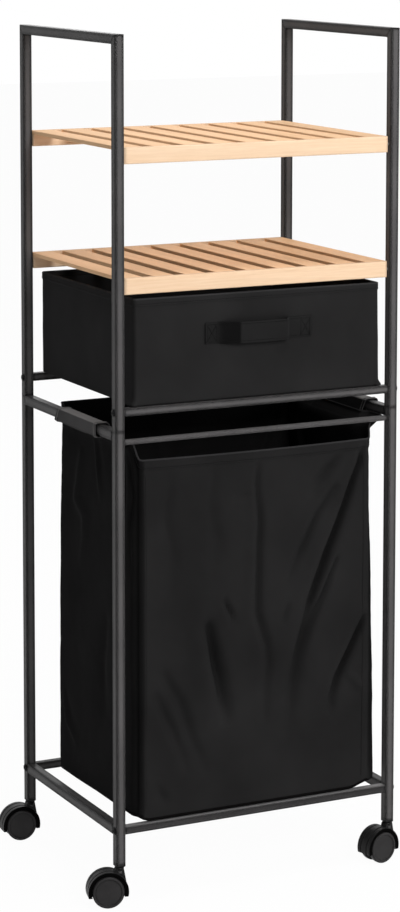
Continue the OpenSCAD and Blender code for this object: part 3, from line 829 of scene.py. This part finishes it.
def panel_floor(name, x, y, z, material, r, sag=0.0, drop=None):
    """A rounded floor panel that hangs a little in its middle; drop(x, y) lowers it further."""
    step = 7
    xs = np.linspace(*x, int((x[1] - x[0])/step))
    xs = np.concatenate([[x[0], x[0] + 1.2, x[0] + 3.5], xs[1:-1],
                         [x[1] - 3.5, x[1] - 1.2, x[1]]])
    ts = np.linspace(0, 1, int((y[1] - y[0])/step))
    gap = np.clip(np.minimum(xs - x[0], x[1] - xs), 0, r)
    cut = r - np.sqrt(r*r - (r - gap)**2)
    rows = []
    for t in ts:
        ys = y[0] + cut + (y[1] - y[0] - 2*cut)*t
        hang = sag*np.sin(math.pi*t)*np.sin(math.pi*(xs - x[0])/(x[1] - x[0]))
        if drop:
            hang = hang + drop(xs, ys)
        rows.append(np.stack([xs, ys, z - hang], -1))
    grid = np.array(rows)
    return loft(name, grid, xs, grid[:, :, 1], material, closed=False)


def inside(span, gap):
    return span[0] + gap, span[1] - gap


bag_floor = thicken(panel_floor("bag_floor", inside(BAG_X, 4), inside(BAG_Y, 4), BAG_BOTTOM + 0.2,
                                CLOTH, r=8, sag=1.0, drop=front_sag), 1.4, outwards=True)
places, _, _ = outline(*inside(BAG_X, 0.4), *inside(BAG_Y, 0.4), BAG_CORNER - 0.4, step=8)
piping_path = np.column_stack([places, BAG_BOTTOM + 1.8 - front_sag(*places.T)])
bag_piping = tube("bag_piping", piping_path, 1.6, BAG_PIPING, closed=True)


def run_round(grid, normals, tops, depth, lift):
    """A row of stitches all round at one depth below the top edge, lifted off the cloth."""
    points = []
    for column, top in zip(grid.swapaxes(0, 1), tops):
        z = top - depth
        points.append([np.interp(z, column[:, 2], column[:, i]) for i in range(2)] + [z])
    out = flat_normals(normals)
    return np.array(points) + out*lift, out


bag_stitches = stitches("bag_hem_stitches",
                        [run_round(grid, bag_normals, bag_tops, depth=9.6, lift=0.1)])


def seam_run(grid, normals, x, way, z0=110, z1=528):
    """A vertical row beside a seam of the front panel, with way -1, or of the back one, with 1."""
    middle_row = 60
    columns = np.nonzero(normals[:, 1]*way > 0.99)[0]
    column = grid[:, columns[np.argmin(np.abs(grid[middle_row, columns, 0] - x))]]
    column = column[(column[:, 2] > z0) & (column[:, 2] < z1)]
    out = np.tile([0, 1.0*way, 0], (len(column), 1))
    return column + 0.1*out, out


bag_seams = stitches("bag_seam_stitches", [seam_run(grid, bag_normals, x, way)
                                           for x in STITCH_X for way in (-1, 1)])
for piece in (bag, bag_rim, bag_floor, bag_piping, bag_stitches, bag_seams):
    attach(piece, "rack")


# Sleeves round the bag rails
def sleeve(side, name):
    """A sleeve with hems, stitches, edges and a seam, on the left with side -1, right with 1."""
    half_w, half_h, r = 8.6, 8.5, 2.8
    centre_x, centre_z = side*SIDE_RAIL_X, SLEEVE_BOTTOM + 2 + half_h
    places, normals, s = outline(-half_w, half_w, -half_h, half_h, r, step=1.6, arc=6)
    y0, y1 = SLEEVE_Y
    ends = [0, 0.5, 1.4, 3, 5.2, 6.2, 6.8, 8]
    ys = np.array([y0 + e for e in ends] + list(np.linspace(y0 + 11, y1 - 11, 34))
                  + [y1 - e for e in reversed(ends)])

    def ring(y):
        return np.column_stack([places[:, 0] + centre_x, np.full(len(places), y),
                                places[:, 1] + centre_z])

    rows = []
    for y in ys:
        edge = min(y - y0, y1 - y)
        points = ring(y)
        wrinkle = 0.32*rough_field(points*(1, 0.8, 1), 9, 5.0 + side)*min(1, edge/12)
        hem = 0.55*(edge < 6.4) + 0.25*bell(edge - 1.2, 1.2) - 0.35*bell(edge - 4.6, 0.6)
        out = np.clip(wrinkle, -0.4, 0.4) + hem
        low = np.clip(-normals[:, 1], 0, 1)*0.9*math.sin(math.pi*(y - y0)/(y1 - y0))
        points[:, 0] += normals[:, 0]*out
        points[:, 2] += normals[:, 1]*out - low
        points[:, 1] += 5*smooth((y - y1 + 40)/40)*(centre_z - points[:, 2])/half_h
        drop = np.clip((centre_z + half_h - points[:, 2])/(2*half_h), 0, 1)
        points[:, 0] -= side*SLEEVE_SLANT*drop*(1 - side*places[:, 0]/half_w)/2
        rows.append(points)
    grid = np.array(rows)[:, ::-1]
    piece = thicken(loft(name, grid, s, ys[:, None], SLEEVE_CLOTH), 1.5)
    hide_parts(name.replace("_cloth", ""))
    out = np.column_stack([normals[:, 0], 0*normals[:, 0], normals[:, 1]])
    round_again = [*range(len(places)), 0]
    runs = [((ring(y) + 0.35*out)[round_again], out[round_again]) for y in (y0 + 4.6, y1 - 4.6)]
    line = np.linspace(y0 + 8, y1 - 8, 40)
    flat = np.column_stack([np.full(40, centre_x + side*half_w + side*0.3), line,
                            np.full(40, SLEEVE_BOTTOM + 3.4)])
    runs.append((flat, np.tile([side, 0, 0], (40, 1))))
    thread = stitches(name + "_stitches", runs, pitch=2.8, length=2.0, radius=0.28)
    first, last = (tube(name + end, grid[row, ::-1], 0.75, SLEEVE_HIGHLIGHT_EDGE, closed=True, sides=8)
                   for end, row in (("_front_edge", 4), ("_rear_edge", -5)))
    inner_corner = grid[3:-3, ::-1][:, np.argmin(places @ (side, 1))]
    seam = tube(name + "_seam", inner_corner, 0.9, HIGHLIGHT_EDGE_CLOTH, sides=8)
    for p in (piece, thread, first, last, seam):
        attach(p, "rack")


sleeve(-1, "bag_sleeve_left_cloth")
sleeve(1, "bag_sleeve_right_cloth")


# Drawer
DRAWER_X, DRAWER_Y = (-169, 169), (-141.7, 138)
DRAWER_BOTTOM, DRAWER_TOP, DRAWER_EDGE = 611.3, 742, 2.2
DRAWER_FOLDS = [
    ([(-150, 730), (-120, 700), (-96, 660), (-90, 630)], 0.8, 12, 18),
    ([(150, 725), (128, 690), (120, 650)], 1.0, 10, 14),
    ([(20, 740), (14, 700), (24, 640)], 0.6, 14, 18),
]


def drawer_grid():
    """The drawer's cloth as rows of points, with their cloth map and normals."""
    places, normals, s = outline(*DRAWER_X, *DRAWER_Y, r=4, step=4.5, arc=7)
    x, y = places.T
    nx, ny = normals.T
    near_top = [0, 0.5, 1.5, 3.2, 5.4, 7.6, 8.4, 8.9, 9.6, 11, 14]
    near_bottom = [0, 0.5, 1.4, 3, 5, 8]
    rows = [DRAWER_BOTTOM + h for h in near_bottom]
    rows += list(np.linspace(DRAWER_BOTTOM + 12, DRAWER_TOP - 18, 26))
    rows += [DRAWER_TOP - d for d in reversed(near_top)]
    z = np.repeat(np.array(rows)[:, None], len(x), 1)
    X, Y = np.broadcast_to(x, z.shape), np.broadcast_to(y, z.shape)
    tall = (z - DRAWER_BOTTOM)/(DRAWER_TOP - DRAWER_BOTTOM)
    front, back = np.clip(-ny, 0, 1)**3, np.clip(ny, 0, 1)**3
    sides = np.abs(nx)**3
    middle_x, middle_y = 1 - (X/DRAWER_X[1])**2, 1 - ((Y + 2)/140)**2
    bulge = np.sin(math.pi*tall)**0.7
    out = bulge*(1.0*front*middle_x + 1.4*back*middle_x + 1.6*sides*middle_y)
    points = np.stack([X, Y, z], -1).reshape(-1, 3)
    out = out + 0.45*rough_field(points, 34, 1.7).reshape(z.shape)*bulge
    out = out + front*bulge*creases(DRAWER_FOLDS, X, z)
    # The base is wider than the walls, most of all at the front's two lower corners
    foot = smooth((9 - (z - DRAWER_BOTTOM))/9)
    out = out + 4.5*foot*np.abs(nx)*smooth((-Y - 60)/80)
    out = out + 1.8*np.maximum(X, 0)/DRAWER_X[1]*(1 - tall)*np.clip(nx, 0, 1)
    for seam in inside(DRAWER_X, 5):
        for panel in (front, back):
            ridge, groove = bell(X - seam + np.sign(seam)*2, 1.4), bell(X - seam, 0.9)
            out = out + panel*(0.7*ridge - 0.9*groove)
    depth = DRAWER_TOP - z
    out = out + 0.8*(depth < 8.6) - 0.35*bell(depth - 6.4, 0.8) - 0.5*bell(depth, 0.9)
    out = out - rounding(z - DRAWER_BOTTOM, DRAWER_EDGE)
    return np.stack([X + nx*out, Y + ny*out, z], -1), s, z, normals


grid, girth, heights, normals = drawer_grid()
drawer = thicken(loft("drawer_cloth", grid, girth, heights, DRAWER_CLOTH), 2.8)
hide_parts("drawer_box")
drawer_tops = np.full(len(normals), DRAWER_TOP)
drawer_stitches = stitches("drawer_stitches",
                           [run_round(grid, normals, drawer_tops, depth=6.4, lift=0.05)])
rim = grid[-1] - 1.4*flat_normals(normals) - (0, 0, 0.8)
drawer_rim = tube("drawer_binding", rim, 2.0, HIGHLIGHT_EDGE_CLOTH, closed=True, flat=1.5)
drawer_floor = thicken(panel_floor("drawer_floor", (-166, 166), (-139, 135), DRAWER_BOTTOM + 0.4,
                                   DRAWER_CLOTH, r=4), 2.2, outwards=True)


# Pull strap
STRAP_X, STRAP_Z, STRAP_W, STRAP_T = (-74.4, 72.2), 694.3, 26.3, 1.9
# What is sewn down at each end: its length, the stitches' distance from the end, and their height
STRAP_SEWN, STITCH_IN, STITCH_HALF = 15, 2.5, 10
# (across, how far its outer face stands off the drawer's front)
STRAP_PROFILE = [(-74.4, 2.8), (-71, 2.2), (-58, 2.2), (-55, 2.7), (-31.5, 12.0), (-29, 12.6),
                 (3, 13.0), (33, 12.7), (35, 11.8), (40, 3.2), (42, 2.4), (46, 2.2), (69, 2.2),
                 (72.2, 2.8)]

profile_x, profile_out = np.array(STRAP_PROFILE).T
xs = np.unique(np.concatenate([np.linspace(*STRAP_X, 90), profile_x, np.linspace(34, 43, 12)]))
strap_y = DRAWER_Y[0] - np.interp(xs, profile_x, profile_out)
rows = []
for t in (-1, -0.985, -0.94, -0.86, -0.72, -0.4, 0, 0.4, 0.72, 0.86, 0.94, 0.985, 1):
    soft = 0.9*abs(t)**9 + 0.45*bell(abs(t) - 0.82, 0.05)
    ripple = np.array([0.3*noise.noise(Vector((x/19, t*0.8, 4.2))) for x in xs])
    rows.append(np.column_stack([xs, strap_y + soft - ripple,
                                 STRAP_Z + t*STRAP_W/2 - 0.5*bell(xs, 40)]))
strap_grid = np.array(rows)
strap = thicken(loft("drawer_strap_web", strap_grid, xs, strap_grid[:, :, 2], WEBBING,
                     closed=False), STRAP_T)
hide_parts("drawer_strap")


def forward_run(x, y, z):
    line = np.column_stack(np.broadcast_arrays(x, y, z))
    return line, np.tile([0, -1.0, 0], (len(line), 1))


runs = [forward_run(xs, strap_y + 0.25, STRAP_Z + t*STRAP_W/2) for t in (-0.8, 0.8)]
# A box with a cross in it at each end
low, high = STRAP_Z - STITCH_HALF, STRAP_Z + STITCH_HALF
for a, b in ((STRAP_X[0] + STITCH_IN, STRAP_X[0] + STRAP_SEWN),
             (STRAP_X[1] - STRAP_SEWN, STRAP_X[1] - STITCH_IN)):
    for p, q in (((a, low), (b, high)), ((a, high), (b, low)),
                 ((a, low), (a, high)), ((b, low), (b, high))):
        t = np.linspace(0, 1, 12)
        runs.append(forward_run(p[0] + (q[0] - p[0])*t, DRAWER_Y[0] - 2.35,
                                p[1] + (q[1] - p[1])*t))
strap_stitches = stitches("strap_stitches", runs, pitch=2.6, length=1.9, radius=0.3)
for piece in (drawer, drawer_rim, drawer_floor, drawer_stitches, strap, strap_stitches):
    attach(piece, "drawer")


# Casters: bands over each hood, with grooves between them, nearly black rings of painted shade
# between hood and wheels, and a collar round the neck
TRAIL, AXLE_Z, HOOD_R, HOOD_HALF, WHEEL_R = 15, 20, 24.5, 11.5, 20
# Place of each stem, and the caster's heading in degrees. Heights here are from the floor.
CASTERS = {"front_left": (-189, -139, 165), "front_right": (189, -139, 192),
           "rear_left": (-189, 139, 175), "rear_right": (189, 139, 15)}
# The wheels' bands run from one end of the hood to the other, and the middle one to its neck
HOOD_ENDS, RIM_ENDS, NECK_END = (-13.5, 193.5), (-13.2, 193.2), 108
# How far from the hood's middle the wheels' bands begin and the middle one ends
SIDE_BAND, MIDDLE_BAND = 5.8, 4.5
# (radius, height) round the collar's profile
COLLAR = [(5.0, 37), (5.0, 40), (5.2, 44), (5.7, 47.4), (5.5, 48.1), (3.2, 48.1), (3.2, 37)]


def arc_bands(name, corner, bands, material):
    """Bands round the axle: each a closed outline of (across, radius), swept between two angles."""
    cx, cy, heading = CASTERS[corner]
    turn = math.radians(heading)
    ahead = np.array([math.cos(turn), math.sin(turn)])
    side = np.array([-math.sin(turn), math.cos(turn)])
    verts, faces = [], []
    for section, start, end in bands:
        first, n, steps = len(verts), len(section), 56
        for i in range(steps + 1):
            angle = math.radians(start + (end - start)*i/steps)
            for across, radius in section:
                flat = (cx, cy) + ahead*(TRAIL + radius*math.cos(angle)) + side*across
                verts.append((*flat, AXLE_Z + radius*math.sin(angle) - BASE_Z))
        for i in range(steps):
            for j in range(n):
                m = (j + 1) % n
                a, b = first + i*n, first + (i + 1)*n
                faces.append((a + j, a + m, b + m, b + j))
        faces.append(tuple(first + j for j in reversed(range(n))))
        faces.append(tuple(first + steps*n + j for j in range(n)))
    piece = make_piece(name, verts, faces, material)
    piece.data.polygons.foreach_set("use_smooth", [False]*len(piece.data.polygons))
    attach(piece, "caster_" + corner)


def cover_section(a, b):
    low, top, soft = HOOD_R - 0.3, HOOD_R + 0.7, 0.35
    return [(a, low), (b, low), (b, top - soft), (b - soft, top), (a + soft, top), (a, top - soft)]


def rim_section(way):
    a, b = sorted((way*(HOOD_HALF - 0.2), way*(HOOD_HALF + 0.25)))
    low, top = WHEEL_R + 0.9, HOOD_R + 0.4
    return [(a, low), (b, low), (b, top), (a, top)]


def collar(corner):
    cx, cy, _ = CASTERS[corner]
    turns, rings = 28, len(COLLAR)
    verts = [(cx + r*math.cos(2*math.pi*k/turns), cy + r*math.sin(2*math.pi*k/turns), z - BASE_Z)
             for r, z in COLLAR for k in range(turns)]
    faces = []
    for i in range(rings):
        for k in range(turns):
            above, beside = (i + 1) % rings, (k + 1) % turns
            faces.append((i*turns + k, i*turns + beside, above*turns + beside, above*turns + k))
    neck = make_piece("caster_neck_" + corner, verts, faces, METAL)
    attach(neck, "caster_" + corner)


for corner in CASTERS:
    arc_bands("caster_cover_" + corner, corner, [
        (cover_section(-HOOD_HALF, -SIDE_BAND), *HOOD_ENDS),
        (cover_section(SIDE_BAND, HOOD_HALF), *HOOD_ENDS),
        (cover_section(-MIDDLE_BAND, MIDDLE_BAND), HOOD_ENDS[0], NECK_END)], NYLON)
    # Rings of painted shade between each hood and its wheels
    arc_bands("caster_rim_shade_" + corner, corner,
              [(rim_section(way), *RIM_ENDS) for way in (-1, 1)], RIM_SHADE)
    collar(corner)
